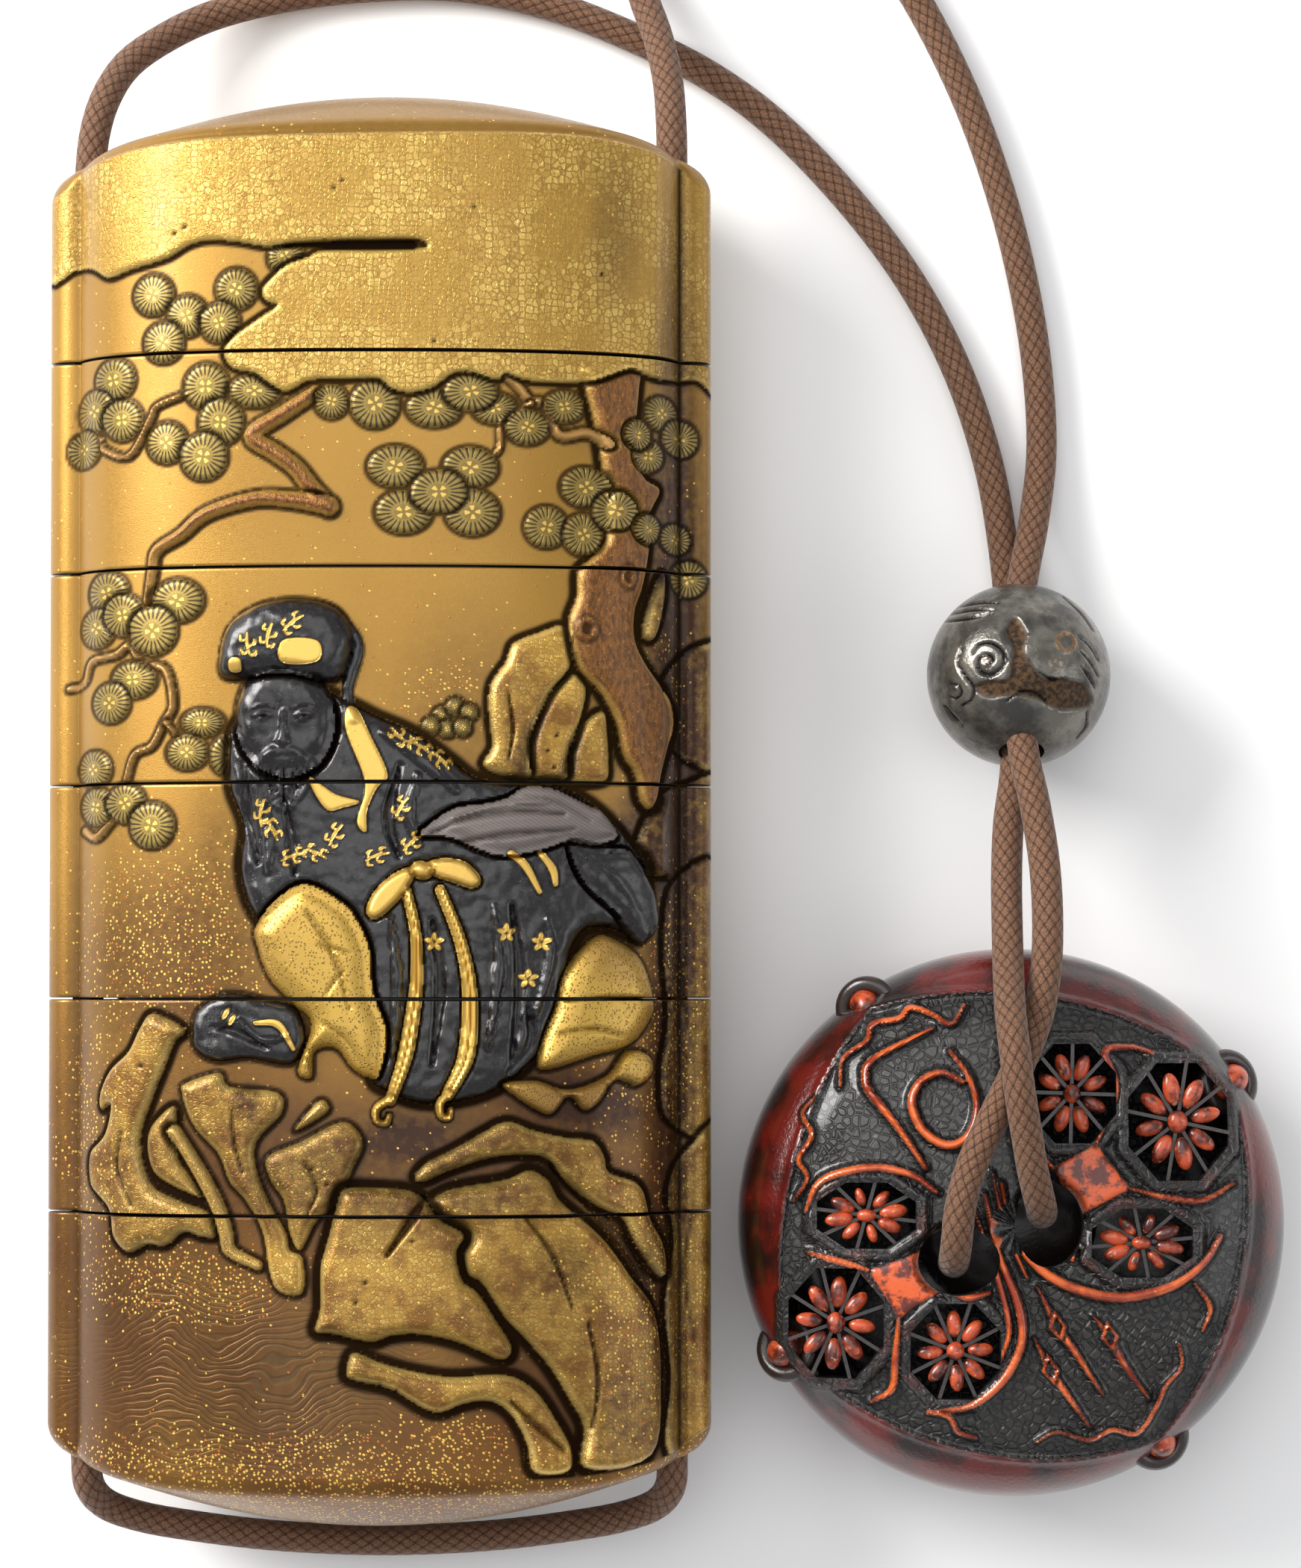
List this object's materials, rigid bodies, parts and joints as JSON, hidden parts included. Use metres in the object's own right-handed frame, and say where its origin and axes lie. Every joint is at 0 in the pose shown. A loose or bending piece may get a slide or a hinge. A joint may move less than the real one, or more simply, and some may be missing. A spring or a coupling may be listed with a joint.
{
  "type": "inro case",
  "caption": "Gold lacquer inro in stacked cases with a lid, carved in relief, strung on a silk cord with a metal ojime bead and a round openwork netsuke.",
  "frame": {"origin": "under the middle of the case stack, on the surface it lies on", "axes": "+Y along the stack towards the lid, +Z out of the carved front, +X to the right of the front"},
  "size_m": [0.0834, 0.1192, 0.0216],
  "materials": {
    "gold_lacquer": "gold lacquer in relief over thin wood, semi-gloss, worn",
    "silk_cord": "round braided silk, matt",
    "dark_metal": "dark patinated metal, engraved, rubbed bright",
    "red_black_lacquer": "carved red lacquer over black, polished rim"
  },
  "bodies": {
    "root": {"lid": "gold_lacquer", "case_1": "gold_lacquer", "case_2": "gold_lacquer", "case_3": "gold_lacquer", "case_4": "gold_lacquer", "case_5": "gold_lacquer", "cord_left": "silk_cord", "cord_left_run": "silk_cord", "cord_base": "silk_cord", "cord_right_run": "silk_cord", "cord_right": "silk_cord", "ojime": "dark_metal", "netsuke": "red_black_lacquer"}
  },
  "joints": []
}
